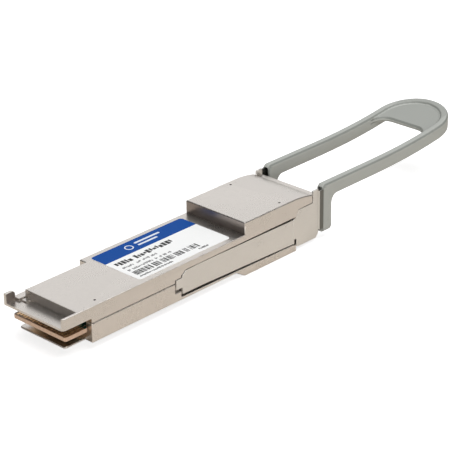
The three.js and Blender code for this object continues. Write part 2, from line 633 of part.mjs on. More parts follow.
const chipTop = BOARD.high + 0.9;
addSolid('microcontroller', block(25, 30, -2.5, 2.5, BOARD.high, chipTop), materials.chip);
addSolid('clock_recovery_chip', block(17, 22.5, -2.75, 2.75, BOARD.high, chipTop), materials.chip);
addSolid('laser_driver_chip', block(40, 45, 1, 5.5, BOARD.high, chipTop), materials.chip);
addSolid('receiver_amplifier_chip', block(40, 45, -5.5, -1, BOARD.high, chipTop), materials.chip);
addSolid('power_inductor_1', block(33, 36, -5, -2, BOARD.high, BOARD.high + 1.6), materials.chip);
addSolid('power_inductor_2', block(33, 36, 2, 5, BOARD.high, BOARD.high + 1.6), materials.chip);
addSolid('thermal_pad', block(39.5, 45.5, -5.8, 5.8, chipTop, CAVITY_TOP - 0.05), materials.pad);

for (const [name, s] of [['receive', -1], ['transmit', 1]]) {
  addSolid(`${name}_flex_circuit`, flexSolid(s), materials.flex);
  addSolid(`${name}_optical_subassembly`, opticalSubassembly(s), materials.gold);
  addSolid(`${name}_ferrule_sleeve`, sleeveSolid(s), materials.ceramic);
}
addSolid('subassembly_retainer', retainerSolid(), materials.steel);
addSolid('lc_receptacle', receptacleSolid(), materials.receptacle);

for (const s of sides) {
  const gasket = block(16, 32, s * 7.5, s * 8.1, SEAM_LOW, SEAM_HIGH);
  addSolid(`seam_gasket_${sideName(s)}`, gasket, materials.gasket);
  addSolid(`screw_front_${sideName(s)}`, screwSolid(FRONT_SCREW, s), materials.screw);
  addSolid(`screw_rear_${sideName(s)}`, screwSolid(REAR_SCREW, s), materials.screw);
  addMesh(`release_spring_${sideName(s)}`, springGeometry(s), materials.steel);
}

const labelShape = roundedRect(LABEL.front, -LABEL.half, LABEL.rear, LABEL.half, LABEL.cornerR);
addSolid('label', plan(labelShape, BODY_TOP, BODY_TOP + LABEL.thick, 5), materials.label);
addSolid('release_slider', sliderSolid(), materials.steel);
addSolid('pull_tab', pullTabSolid(), materials.tab);

export default transceiver;
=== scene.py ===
"""Looks for the optical transceiver module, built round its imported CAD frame. Metres, +Z up.

Places and sizes are named in millimetres, with x counted from the nose. at() turns them into the
frame's metres.
"""
import json
import math
import random

import bmesh
import bpy
from mathutils import Matrix, Vector
from mathutils.bvhtree import BVHTree


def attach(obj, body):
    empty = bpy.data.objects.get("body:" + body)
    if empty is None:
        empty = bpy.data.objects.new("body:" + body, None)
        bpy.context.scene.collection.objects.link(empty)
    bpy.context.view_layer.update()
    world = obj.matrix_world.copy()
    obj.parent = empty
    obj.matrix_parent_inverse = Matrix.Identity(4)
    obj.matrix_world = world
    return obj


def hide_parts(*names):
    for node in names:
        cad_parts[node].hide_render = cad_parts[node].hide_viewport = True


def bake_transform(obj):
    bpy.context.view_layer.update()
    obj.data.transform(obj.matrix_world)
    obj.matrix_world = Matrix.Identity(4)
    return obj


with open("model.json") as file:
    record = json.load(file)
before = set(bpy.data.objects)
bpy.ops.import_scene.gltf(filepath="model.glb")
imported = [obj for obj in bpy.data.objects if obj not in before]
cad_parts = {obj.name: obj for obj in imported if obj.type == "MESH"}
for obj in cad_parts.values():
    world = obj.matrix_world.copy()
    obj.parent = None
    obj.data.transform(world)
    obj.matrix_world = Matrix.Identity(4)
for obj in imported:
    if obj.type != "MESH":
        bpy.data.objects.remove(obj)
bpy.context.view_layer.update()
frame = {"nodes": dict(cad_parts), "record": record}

MM = 0.001
DATUM_X = 31.0  # the nose is this far in front of the origin
MODULE = "module_body"
PULL = "release_pull"
HEAD_FRONT, HEAD_BOTTOM, HEAD_TOP = 54.8, -1.65, 11.5
BODY_TOP = 8.5


def at(x, y, z):
    """A point given in mm, with x counted from the nose."""
    return Vector(((x - DATUM_X) * MM, y * MM, z * MM))


def from_nose(co):
    """How far behind the nose a point lies, in mm."""
    return co.x / MM + DATUM_X


def between(value, limits):
    return limits[0] < value < limits[1]


# ---- camera ----

CAMERA_AZ, CAMERA_EL, CAMERA_ROLL = -46.271, 25.073, -0.741
CAMERA_LENS = 152.15
CAMERA_BACK, CAMERA_RIGHT, CAMERA_UP = 397.143, 39.786, 24.623  # from the nose, along its own axes


def make_camera():
    az, el, roll = (math.radians(v) for v in (CAMERA_AZ, CAMERA_EL, CAMERA_ROLL))
    back = Vector((math.sin(az) * math.cos(el), -math.cos(az) * math.cos(el), math.sin(el)))
    level = Vector((math.cos(az), math.sin(az), 0))
    rise = back.cross(level)
    right = math.cos(roll) * level + math.sin(roll) * rise
    up = -math.sin(roll) * level + math.cos(roll) * rise
    data = bpy.data.cameras.new("camera")
    data.lens = CAMERA_LENS
    data.sensor_width = 36.0
    data.clip_start, data.clip_end = 0.01, 20.0
    cam = bpy.data.objects.new("camera", data)
    bpy.context.collection.objects.link(cam)
    turn = Matrix((right, up, back)).transposed().to_4x4()
    place = back * CAMERA_BACK + right * CAMERA_RIGHT + up * CAMERA_UP
    cam.matrix_world = Matrix.Translation(at(*place)) @ turn
    bpy.context.scene.camera = cam


# ---- node helpers ----

NOISE_ROUGHNESS = 0.55


class Nodes:
    """Short names for building one node tree."""

    def __init__(self, tree):
        self.tree = tree
        tree.nodes.clear()

    def new(self, kind, **values):
        node = self.tree.nodes.new(kind)
        for key, value in values.items():
            setattr(node, key, value)
        return node

    def link(self, a, b):
        self.tree.links.new(a, b)

    def coords(self, scale=(1, 1, 1)):
        """Object coordinates in millimetres, stretched by scale."""
        source = self.new("ShaderNodeTexCoord")
        mapping = self.new("ShaderNodeMapping")
        mapping.inputs["Scale"].default_value = [s / MM for s in scale]
        self.link(source.outputs["Object"], mapping.inputs["Vector"])
        return mapping.outputs["Vector"]

    def noise(self, vector, scale, detail):
        node = self.new("ShaderNodeTexNoise")
        node.inputs["Scale"].default_value = scale
        node.inputs["Detail"].default_value = detail
        node.inputs["Roughness"].default_value = NOISE_ROUGHNESS
        self.link(vector, node.inputs["Vector"])
        return node.outputs["Fac"]

    def spread(self, value, low, high, start=0.3, end=0.7):
        """Maps start to end, the middle of a noise unless given, onto low to high."""
        node = self.new("ShaderNodeMapRange")
        for key, number in (("From Min", start), ("From Max", end), ("To Min", low), ("To Max", high)):
            node.inputs[key].default_value = number
        self.link(value, node.inputs["Value"])
        return node.outputs["Result"]

    def mix(self, factor, a, b):
        """Mixes two colours, each a socket or three numbers."""
        node = self.new("ShaderNodeMix", data_type="RGBA")
        sockets = [s for s in node.inputs if s.type == "RGBA"]
        for socket, value in zip(sockets, (a, b)):
            if isinstance(value, bpy.types.NodeSocket):
                self.link(value, socket)
            else:
                socket.default_value = (*value, 1)
        self.link(factor, node.inputs["Factor"])
        return [s for s in node.outputs if s.type == "RGBA"][0]

    def combine(self, operation, *sockets):
        """A math node over one or two sockets."""
        node = self.new("ShaderNodeMath", operation=operation)
        for socket, value in zip(node.inputs, sockets):
            self.link(value, socket)
        return node.outputs[0]

    def bump(self, layers):
        """Bump layers of (height, depth in mm), chained."""
        normal = None
        for height, depth in layers:
            node = self.new("ShaderNodeBump")
            node.inputs["Distance"].default_value = depth * MM
            node.inputs["Strength"].default_value = 1.0
            self.link(height, node.inputs["Height"])
            if normal is not None:
                self.link(normal, node.inputs["Normal"])
            normal = node.outputs["Normal"]
        return normal


# ---- materials ----

RUBBED = 1.18  # how much brighter a rubbed edge is
RUBBED_RIDGE = (0.52, 0.62)  # pointiness where rubbing starts and where it is full
SCUFF_SCALE = 1.6
COAT_ROUGHNESS = 0.15
MASK_START, MASK_FADE = 6.8, 0.2  # where the solder mask starts, and over what length
CARD_FRONT, LAMINATE_DARK, LAMINATE_PALE = (0.24, 0.125, 0.06), (0.50, 0.33, 0.22), (0.68, 0.48, 0.35)
# Painted shade on the tab's shoulders and, in part, its web.
SHOULDER_PAINTED_SHADE = (0.24, 0.25, 0.23)


def shade(colour, factor):
    """A colour made brighter or darker."""
    return tuple(min(1.0, value * factor) for value in colour)


def surface(name, colour, rough, metal=0.0, blotch=0.06, blotch_size=6.0, grain=0.25, depth=0.004,
            rough_spread=0.08, wear=0.0, stretch=(1, 1, 1), coat=0.0, extra=None, ior=1.5):
    """A material with mottled colour, varied roughness, fine grain and, on metal, brighter rubbed edges."""
    material = bpy.data.materials.new(name)
    material.use_nodes = True
    n = Nodes(material.node_tree)
    out = n.new("ShaderNodeOutputMaterial")
    shader = n.new("ShaderNodeBsdfPrincipled")
    n.link(shader.outputs[0], out.inputs["Surface"])
    shader.inputs["Metallic"].default_value = metal
    shader.inputs["IOR"].default_value = ior
    if coat:
        shader.inputs["Coat Weight"].default_value = coat
        shader.inputs["Coat Roughness"].default_value = COAT_ROUGHNESS
    plain = n.coords()
    along = n.coords(stretch)
    cloud = n.noise(plain, 1 / blotch_size, 4.0)
    fine = n.noise(along, 1 / grain, 2.0)
    tone = n.mix(n.spread(cloud, 0, 1), shade(colour, 1 - blotch), shade(colour, 1 + blotch))
    tone = n.mix(n.spread(fine, 0, 0.5), tone, shade(colour, 1 - blotch * 1.5))
    if extra:
        tone = extra(n, plain, tone)
    roughness = n.combine("ADD", n.spread(cloud, rough - rough_spread, rough + rough_spread),
                          n.spread(fine, -rough_spread / 2, rough_spread / 2))
    if wear:
        geometry = n.new("ShaderNodeNewGeometry")
        ridge = n.spread(geometry.outputs["Pointiness"], 0, wear, *RUBBED_RIDGE)
        patches = n.spread(n.noise(plain, SCUFF_SCALE, 4.0), 0.2, 1.0, 0.35, 0.6)
        scuff = n.combine("MULTIPLY", ridge, patches)
        tone = n.mix(scuff, tone, shade(colour, RUBBED))
    n.link(tone, shader.inputs["Base Color"])
    n.link(roughness, shader.inputs["Roughness"])
    n.link(n.bump([(fine, depth), (cloud, depth * 2)]), shader.inputs["Normal"])
    return material


def board_edges(n, plain, tone):
    """Bare laminate on the cut sides of a circuit board and on its front end, solder mask elsewhere."""
    geometry = n.new("ShaderNodeNewGeometry")
    split = n.new("ShaderNodeSeparateXYZ")
    n.link(geometry.outputs["True Normal"], split.inputs[0])
    flat = n.combine("ABSOLUTE", split.outputs["Z"])
    place = n.new("ShaderNodeSeparateXYZ")
    n.link(plain, place.inputs[0])
    masked = n.spread(place.outputs["X"], 0, 1, MASK_START - DATUM_X, MASK_START + MASK_FADE - DATUM_X)
    tone = n.mix(masked, CARD_FRONT, tone)
    laminate = n.mix(n.spread(n.noise(plain, 4.0, 3.0), 0, 1), LAMINATE_DARK, LAMINATE_PALE)
    return n.mix(n.spread(flat, 0, 1, 0.45, 0.55), laminate, tone)


def paint_shoulder_shade(n, _plain, tone):
    """Painted shade: the tab's moulded shoulders get a darker tone than its flats, and its web a little,
    standing for their shade and dark reflection.
    """
    shoulder = n.new("ShaderNodeAttribute", attribute_name="shoulder")
    return n.mix(shoulder.outputs["Fac"], tone, SHOULDER_PAINTED_SHADE)


NICKEL = (0.82, 0.775, 0.73)
STEEL = (0.86, 0.845, 0.82)
# Numbers after a colour: rough, metal, blotch, blotch_size, grain, depth, rough_spread, wear.
MATERIALS = {
    "cast_shell": surface("satin_nickel", NICKEL, 0.29, 1.0, 0.025, 9.0, 0.2, 0.0007, 0.035, 0.25),
    "stamped_steel": surface("stamped_sheet", STEEL, 0.31, 1.0, 0.025, 5.0, 0.16, 0.0007, 0.035, 0.25,
                             stretch=(0.12, 1, 1)),
    "spring_steel": surface("spring_wire", (0.55, 0.54, 0.52), 0.3, 1.0, 0.08, 2.0, 0.05, 0.001),
    "screw_steel": surface("screw_head", (0.42, 0.41, 0.39), 0.36, 1.0, 0.08, 1.5, 0.06, 0.002, wear=0.8),
    "circuit_board": surface("solder_mask", (0.012, 0.06, 0.04), 0.34, 0.0, 0.12, 3.0, 0.3, 0.006,
                             coat=0.3, extra=board_edges),
    "contact_gold": surface("hard_gold", (0.86, 0.58, 0.32), 0.3, 1.0, 0.1, 1.2, 0.05, 0.001,
                            stretch=(0.15, 1, 1), wear=0.5),
    "chip_package": surface("moulded_epoxy", (0.022, 0.022, 0.024), 0.55, 0.0, 0.2, 0.9, 0.08, 0.006),
    "thermal_gel": surface("gap_pad", (0.23, 0.3, 0.38), 0.8, 0.0, 0.12, 1.4, 0.2, 0.02),
    "flex_film": surface("polyimide", (0.42, 0.15, 0.025), 0.35, 0.0, 0.08, 1.2, 0.15, 0.003, coat=0.4),
    "optic_body": surface("gold_flash", (0.72, 0.55, 0.3), 0.3, 1.0, 0.06, 1.5, 0.06, 0.001, wear=0.5),
    "port_plastic": surface("port_moulding", (0.02, 0.021, 0.023), 0.5, 0.0, 0.15, 2.0, 0.12, 0.008),
    "ceramic": surface("zirconia", (0.82, 0.8, 0.74), 0.15, 0.0, 0.03, 1.2, 0.08, 0.0008, 0.03, coat=0.5),
    "gasket_rubber": surface("gasket", (0.035, 0.035, 0.038), 0.75, 0.0, 0.15, 1.0, 0.1, 0.01),
    "label_film": surface("label_white", (0.95, 0.955, 0.95), 0.5, 0.0, 0.01, 7.0, 0.3, 0.0025, 0.05),
    "tab_elastomer": surface("tab_elastomer", (0.425, 0.438, 0.41), 0.5, 0.0, 0.03, 8.0, 0.14, 0.003,
                             0.06, extra=paint_shoulder_shade),
}
# Painted shade: a darker nickel for the head's front face and the ear's inner face, standing for their
# shade and dark reflections.
NICKEL_PAINTED_SHADE = surface("nickel_painted_shade", (0.37, 0.325, 0.30), 0.33, 1.0, 0.04, 4.0, 0.2, 0.001, 0.04)
# Painted shade: dark steel for the plates' roots inside the tab's mouths, where they lie in shadow.
SLOT_PAINTED_SHADE = surface("slot_painted_shade", (0.21, 0.212, 0.198), 0.4, 1.0, 0.04, 3.0, 0.2, 0.001, 0.04)
# Painted shade: near-black for the pin bores and the slider pockets, where shade falls.
RECESS_PAINTED_SHADE = surface("recess_painted_shade", (0.10, 0.085, 0.075), 0.5, 0.6, 0.1, 1.0, 0.1, 0.002)
BLUE_INK = surface("label_blue", (0.003, 0.07, 0.33), 0.62, 0.0, 0.03, 5.0, 0.3, 0.002, 0.05, ior=1.22)
BLACK_INK = surface("label_black", (0.012, 0.012, 0.013), 0.5, 0.0, 0.2, 0.6, 0.1, 0.002)
GREY_INK = surface("label_grey", (0.16, 0.16, 0.165), 0.5, 0.0, 0.15, 0.6, 0.1, 0.002)
WHITE_INK = surface("label_mark", (0.75, 0.80, 0.88), 0.45, 0.0, 0.03, 1.0, 0.1, 0.002)

SLOTS = {part["node"]: part["material_slot"] for part in frame["record"]["subparts"]}


def dress_cad_nodes():
    """Every CAD node gets its slot's material, shown or not."""
    for node, obj in frame["nodes"].items():
        for slot in obj.material_slots:
            slot.material = MATERIALS[SLOTS[node]]


# ---- mesh helpers ----

WELD = 2e-6  # vertices of a CAD mesh closer than this many metres are one
FLAT_EDGE, SHARP_EDGE = 5, 28  # in degrees: an edge that doesn't show, and one that is rounded
ALONG_EDGE = 0.85  # cosine from which the next edge runs on in the same direction
ROOM_SHARE = 0.42  # share of a neighbouring edge that a rounding may take
HAIR = 0.001  # the finest rounding of thin films


def bake_modifiers(obj):
    """Replaces an object's mesh by the result of its modifiers."""
    graph = bpy.context.evaluated_depsgraph_get()
    mesh = bpy.data.meshes.new_from_object(obj.evaluated_get(graph))
    obj.modifiers.clear()
    obj.data = mesh


def sharpen_and_weight(obj, angle=35):
    """Smooth shading with flat faces kept flat and real edges kept sharp."""
    mesh = obj.data
    bm = bmesh.new()
    bm.from_mesh(mesh)
    for face in bm.faces:
        face.smooth = True
    for edge in bm.edges:
        edge.smooth = edge.is_manifold and edge.calc_face_angle(0.0) < math.radians(angle)
    bm.to_mesh(mesh)
    bm.free()
    weighted = obj.modifiers.new("weighted", "WEIGHTED_NORMAL")
    weighted.keep_sharp = True
    weighted.weight = 80
    bake_modifiers(obj)


def place_piece(obj, slot, body=MODULE, nodes=(), material=None):
    """Gives a piece its slot's material, or the one given, puts it on the body it rides on and hides the
    CAD nodes it stands for.
    """
    obj.data.materials.clear()
    obj.data.materials.append(material or MATERIALS[slot])
    if body:
        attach(obj, body)
    if nodes:
        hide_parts(*nodes)


def object_from(bm, name):
    """A new object in the scene from a bmesh, which it frees."""
    mesh = bpy.data.meshes.new(name)
    bmesh.ops.recalc_face_normals(bm, faces=bm.faces)
    bm.to_mesh(mesh)
    bm.free()
    obj = bpy.data.objects.new(name, mesh)
    bpy.context.collection.objects.link(obj)
    return obj


def cad_copy(node, name, flat_angle=1.0):
    """A clean copy of a CAD node's mesh, with its flat faces in one piece."""
    bm = bmesh.new()
    bm.from_mesh(frame["nodes"][node].data)
    bmesh.ops.remove_doubles(bm, verts=bm.verts, dist=WELD)
    bmesh.ops.dissolve_limit(bm, angle_limit=math.radians(flat_angle), verts=bm.verts, edges=bm.edges)
    return object_from(bm, name)


def edge_room(edge):
    """The widest rounding an edge can take before it runs into the next edges, in metres."""
    room = 1.0
    along = (edge.verts[1].co - edge.verts[0].co).normalized()
    for vert in edge.verts:
        for other in vert.link_edges:
            if other is edge or other.calc_face_angle(0.0) < math.radians(FLAT_EDGE):
                continue
            reach = other.other_vert(vert).co - vert.co
            if abs(reach.normalized().dot(along)) < ALONG_EDGE:
                room = min(room, reach.length * ROOM_SHARE)
    return room


def round_edges(obj, width, segments=3, pick=None, least=0.02):
    """Rounds the outer edges of a mesh, each as far as its neighbours allow. Widths in mm.

    pick gives an edge's own width, up to width, from its middle. Roundings under least are left out.
    """
    bm = bmesh.new()
    bm.from_mesh(obj.data)
    layer = bm.edges.layers.float.new("bevel_weight_edge")
    for edge in bm.edges:
        if not (edge.is_manifold and edge.is_convex):
            continue
        if edge.calc_face_angle(0.0) < math.radians(SHARP_EDGE):
            continue
        middle = (edge.verts[0].co + edge.verts[1].co) / 2 / MM + Vector((DATUM_X, 0, 0))
        wanted = pick(*middle) if pick else width
        got = min(wanted, edge_room(edge) / MM)
        if got > least:
            edge[layer] = got / width
    bm.to_mesh(obj.data)
    bm.free()
    bevel = obj.modifiers.new("bevel", "BEVEL")
    bevel.limit_method = "WEIGHT"
    bevel.width = width * MM
    bevel.segments = segments
    bevel.use_clamp_overlap = False
    bevel.miter_outer = "MITER_SHARP"
    bake_modifiers(obj)


def prism(bm, points, z0, z1):
    """A closed upright prism over a plan outline given in mm from the nose."""
    low = [bm.verts.new(at(x, y, z0)) for x, y in points]
    high = [bm.verts.new(at(x, y, z1)) for x, y in points]
    bm.faces.new(low[::-1])
    bm.faces.new(high)
    for i in range(len(points)):
        j = (i + 1) % len(points)
        bm.faces.new((low[i], low[j], high[j], high[i]))


def skin(bm, loops):
    """Faces between each loop of vertices and the next."""
    for a, b in zip(loops, loops[1:]):
        for i in range(len(a)):
            j = (i + 1) % len(a)
            bm.faces.new((a[i], a[j], b[j], b[i]))


def rectangle(x0, y0, x1, y1):
    return [(x0, y0), (x1, y0), (x1, y1), (x0, y1)]


def round_rect(x0, y0, x1, y1, radius, steps=5, corners=(1, 1, 1, 1)):
    """Plan outline of a rectangle. Corners run from (x1, y0) anticlockwise, 0 for a square one."""
    points = []
    centres = ((x1, y0, -90, -1, 1), (x1, y1, 0, -1, -1), (x0, y1, 90, 1, -1), (x0, y0, 180, 1, 1))
    for (cx, cy, start, sx, sy), on in zip(centres, corners):
        if not on:
            points.append((cx, cy))
            continue
        for i in range(steps + 1):
            angle = math.radians(start + 90 * i / steps)
            points.append((cx + sx * radius + radius * math.cos(angle),
                           cy + sy * radius + radius * math.sin(angle)))
    return points


# ---- shells ----

PIN_HOLES = ((10.8, -7.3, BODY_TOP), (68.0, -7.6, HEAD_TOP), (68.0, 7.6, HEAD_TOP))
BORE_R, RIM_R = 0.36, 0.5  # faces this near a pin hole's axis are in its bore, edges are on its rim
TOUCH = 0.02
NOSE_END = 5  # the nose plate's small features lie in front of this
NOSE_ROUND, SIDE_ROUND, TOP_ROUND, WIDEST_ROUND, LOWER_ROUND = 0.1, 0.14, 0.28, 0.32, 0.22
UNROUNDED_NOSE = (6.2, 7)  # heights between which the nose's edges stay sharp
RIDGE_MITRE = 0.5  # where the rounding along the near ridge ends
EAR_X, EAR_Y, EAR_Z = 3, 8, 6.4  # the ear's faces lie in front of, beyond and above these
BAY_SLANT_X, BAY_SLANT_Z, BAY_SLANT_Y = (71.2, 73), (6.5, 9), 8  # the slanted end of the plate's bay
POCKET_X, POCKET_Y, POCKET_Z = (32, 78), (7.6, 8.34), (-0.1, 8.7)


def upper_edge(x, y, z):
    """Rounding of the upper shell's edges: widest along the top, fine round small features."""
    if any(math.hypot(x - hx, y - hy) < RIM_R for hx, hy, _ in PIN_HOLES):
        return 0.0
    if x < NOSE_END:
        return 0.0 if between(z, UNROUNDED_NOSE) else NOSE_ROUND
    if between(x, BAY_SLANT_X) and between(z, BAY_SLANT_Z) and abs(y) > BAY_SLANT_Y:
        return 0.0
    on_top = abs(z - BODY_TOP) < TOUCH or z > HEAD_TOP - 1.5
    return TOP_ROUND if on_top else SIDE_ROUND


def trim_mitre(obj):
    """Brings back the mitre points that overshoot the nose at the ridge's rounded front corner."""
    for vert in obj.data.vertices:
        if from_nose(vert.co) < -TOUCH:
            vert.co.x = at(RIDGE_MITRE, 0, 0).x


def paint_pocket_shade(obj, index):
    """Painted shade: the walls of the slider pockets get a near-black material, standing for the shade in
    the gaps round the slider.
    """
    for face in obj.data.polygons:
        x, y, z = from_nose(face.center), abs(face.center.y) / MM, face.center.z / MM
        level = abs(face.normal.z) > 0.99
        if between(x, POCKET_X) and between(y, POCKET_Y) and between(z, POCKET_Z) and not level:
            face.material_index = index


def make_upper_shell():
    upper = cad_copy("upper_shell", "upper_shell_casting")
    round_edges(upper, WIDEST_ROUND, 4, upper_edge)
    trim_mitre(upper)
    sharpen_and_weight(upper)
    place_piece(upper, "cast_shell", nodes=["upper_shell"])
    # Painted shade: the head's front face and the ear's inner face get the darker nickel (slot 1), and the
    # pin bores get the near-black recess shade (slot 2).
    upper.data.materials.append(NICKEL_PAINTED_SHADE)
    upper.data.materials.append(RECESS_PAINTED_SHADE)
    for face in upper.data.polygons:
        x, y, z = from_nose(face.center), face.center.y / MM, face.center.z / MM
        in_bore = any(math.hypot(x - hx, y - hy) < BORE_R and z < top - 0.05 for hx, hy, top in PIN_HOLES)
        head_front = face.normal.x < -0.95 and abs(x - HEAD_FRONT) < 0.1 and z > BODY_TOP
        ear_inside = face.normal.y < -0.9 and x < EAR_X and y > EAR_Y and z > EAR_Z
        if in_bore:
            face.material_index = 2
        elif head_front or ear_inside:
            face.material_index = 1
    paint_pocket_shade(upper, 2)


def make_lower_shell():
    lower = cad_copy("lower_shell", "lower_shell_casting")
    round_edges(lower, LOWER_ROUND)
    sharpen_and_weight(lower)
    place_piece(lower, "cast_shell", nodes=["lower_shell"])
    # Painted shade: the lower shell's pocket walls get the near-black recess shade.
    lower.data.materials.append(RECESS_PAINTED_SHADE)
    paint_pocket_shade(lower, 1)


# ---- release slider ----

SLIDER_ROUND = 0.09
PLATE_BENDS = (71.28, 71.42, 79.85, 80.1)  # where the plates step out beside the head, then in again
PLATE_FRONT, ROOT_FRONT, PLATE_INNER = 71.3, 80, 8.3
PLATE_OUT, ROOT_IN = 0.12, 0.5
PLATE_SLANT_X, PLATE_SLANT_Z = (71.6, 73), (6.3, 8.6)  # the slanted edge beside the head


def slider_edge(x, _y, z):
    """The slanted edge beside the head stays crisp."""
    return 0.0 if between(x, PLATE_SLANT_X) and between(z, PLATE_SLANT_Z) else SLIDER_ROUND


def step_plates(bm):
    """Moves the plates out beside the head, and their roots back into the tab's mouths."""
    for x in PLATE_BENDS:
        bmesh.ops.bisect_plane(bm, geom=bm.verts[:] + bm.edges[:] + bm.faces[:],
                               plane_co=at(x, 0, 0), plane_no=(1, 0, 0))
    for vert in bm.verts:
        x = from_nose(vert.co)
        if x > PLATE_FRONT and abs(vert.co.y) > PLATE_INNER * MM:
            step = PLATE_OUT if x < ROOT_FRONT else -ROOT_IN
            vert.co.y += math.copysign(step * MM, vert.co.y)


def make_slider():
    slider = cad_copy("release_slider", "release_slider_sheet", 0.3)
    bm = bmesh.new()
    bm.from_mesh(slider.data)
    step_plates(bm)
    bm.to_mesh(slider.data)
    bm.free()
    round_edges(slider, SLIDER_ROUND, pick=slider_edge)
    sharpen_and_weight(slider)
    place_piece(slider, "stamped_steel", PULL, ["release_slider"])
    # Painted shade: the plates' roots behind ROOT_FRONT, inside the tab's mouths, get the dark slot steel.
    slider.data.materials.append(SLOT_PAINTED_SHADE)
    for face in slider.data.polygons:
        if from_nose(face.center) > ROOT_FRONT:
            face.material_index = 1


# ---- return springs ----

SPRING_FRONT, SPRING_REAR, SPRING_Y, SPRING_Z = 44.05, 52.55, 7.65, 3.1
COIL_R, WIRE_R, TURNS = 0.48, 0.1, 9
END_TURN = 0.8  # turns that lie flat at each end
END_GAP = WIRE_R * 1.2
STEPS_PER_TURN, WIRE_SIDES = 20, 10


def wire_ring(bm, angle, x, side):
    """The vertices round the wire at one angle of the coil."""
    centre = Vector((x, COIL_R * math.cos(angle), COIL_R * math.sin(angle)))
    outward = Vector((0, math.cos(angle), math.sin(angle)))
    ring = []
    for k in range(WIRE_SIDES):
        a = k / WIRE_SIDES * math.tau
        p = centre + outward * (WIRE_R * math.cos(a)) + Vector((WIRE_R * math.sin(a), 0, 0))
        ring.append(bm.verts.new(at(p.x, p.y + side * SPRING_Y, p.z + SPRING_Z)))
    return ring


def make_spring(side, name):
    """A coil spring with closed ends, built as one piece on no body. In the module one end follows the
    slider, the other stays in the shell.
    """
    bm = bmesh.new()
    steps = STEPS_PER_TURN * TURNS
    rings = []
    for i in range(steps + 1):
        turn = i / steps * TURNS
        share = min(1.0, max(0.0, (turn - END_TURN) / (TURNS - 2 * END_TURN)))
        x = SPRING_FRONT + END_GAP + share * (SPRING_REAR - SPRING_FRONT - 2 * END_GAP)
        rings.append(wire_ring(bm, turn * math.tau, x, side))
    skin(bm, rings)
    bm.faces.new(rings[0])
    bm.faces.new(rings[-1][::-1])
    spring = object_from(bm, "return_spring_" + name)
    sharpen_and_weight(spring, 50)
    place_piece(spring, "spring_steel", None, ["release_spring_" + name])
    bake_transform(spring)


# ---- pull tab ----

TAB_VOXEL = 0.16
WEB_START, WEB_HALF, WEB_SHADE_SHARE = 119.0, 7.3, 0.4  # the web gets this share of the shoulders' painted shade
SHOULDER = 0.4  # width of the moulded shoulder between the tab's walls and its top
SHOULDER_FADE = 0.2 * SHOULDER
MOUTH_IN, MOUTH_OUT, MOUTH_END = 7.78, 9.22, 83.4  # the mouths in the legs' fronts, round the plates
LEG_END = 86
OFF_FACE = 0.03  # a point this far outside a face doesn't lie on it


def tab_trees(mesh):
    """Search trees of the tab's walls and of its caps: tops, undersides and the legs' two ends."""
    mesh.calc_loop_triangles()
    points = [vert.co.copy() for vert in mesh.vertices]
    walls, caps = [], []
    for triangle in mesh.loop_triangles:
        middle = sum((points[i] for i in triangle.vertices), Vector()) / 3
        x, y = from_nose(middle), abs(middle.y / MM)
        tilt = abs(triangle.normal.z)
        if MOUTH_IN < y < MOUTH_OUT and x < MOUTH_END and tilt < 0.7:
            continue
        leg_end = abs(triangle.normal.x) > 0.7 and x < LEG_END
        kind = walls if tilt < 0.3 and not leg_end else caps
        kind.append(tuple(triangle.vertices))
    return [BVHTree.FromPolygons(points, kind, all_triangles=True) for kind in (walls, caps)]


def cut_shoulder(co, trees):
    """How far a point moves to lie on the shoulder, and how much of the shoulder's painted shade it gets.
    """
    found = [tree.find_nearest(co, SHOULDER * MM) for tree in trees]
    for place, normal, _, _ in found:
        if place is None or (co - place).dot(normal) > OFF_FACE * MM:
            return Vector(), 0.0
    lift = SHOULDER - sum(distance for _, _, _, distance in found) / MM
    if lift <= 0:
        return Vector(), 0.0
    inward = -(found[0][1] + found[1][1])
    return inward * (lift / 2 * MM), min(1.0, lift / SHOULDER_FADE)


def shape_shoulders(mesh, trees):
    """Cuts the shoulders into the remeshed tab and keeps their painted shade in an attribute."""
    facing = [vert.normal.z for vert in mesh.vertices]
    places, shares = [], []
    for vert, up in zip(mesh.vertices, facing):
        shift, share = cut_shoulder(vert.co, trees)
        places.extend(vert.co + shift)
        # Painted shade: the web's top gets part of the shoulders' shade.
        in_web = up > 0.8 and from_nose(vert.co) > WEB_START and abs(vert.co.y) < WEB_HALF * MM
        if in_web:
            share = max(share, WEB_SHADE_SHARE)
        underside = up <= -0.4
        shares.append(0.0 if underside else share)
    mesh.vertices.foreach_set("co", places)
    shoulder = mesh.attributes.new("shoulder", "FLOAT", "POINT")
    shoulder.data.foreach_set("value", shares)


def make_tab():
    tab = cad_copy("pull_tab", "pull_tab_moulding", 0.2)
    trees = tab_trees(tab.data)
    remesh = tab.modifiers.new("remesh", "REMESH")
    remesh.mode = "VOXEL"
    remesh.voxel_size = TAB_VOXEL * MM
    bake_modifiers(tab)
    shape_shoulders(tab.data, trees)
    relax = tab.modifiers.new("relax", "SMOOTH")
    relax.factor = 0.5
    relax.iterations = 5
    bake_modifiers(tab)
    for polygon in tab.data.polygons:
        polygon.use_smooth = True
    place_piece(tab, "tab_elastomer", PULL, ["pull_tab"])


# ---- label ----

LABEL = (23.5, -7.75, 51.6, 7.75)  # x0, y0, x1, y1
LABEL_CORNER, FILM_ROUND = 0.8, 0.02
LABEL_TOP = BODY_TOP + 0.08
PRINT_FOOT, PRINT_TOP = LABEL_TOP - 0.01, LABEL_TOP + 0.006
MARK_FOOT, MARK_TOP = PRINT_TOP - 0.005, PRINT_TOP + 0.004
BAND_LOW, BAND_INSET = 2.9, 0.02
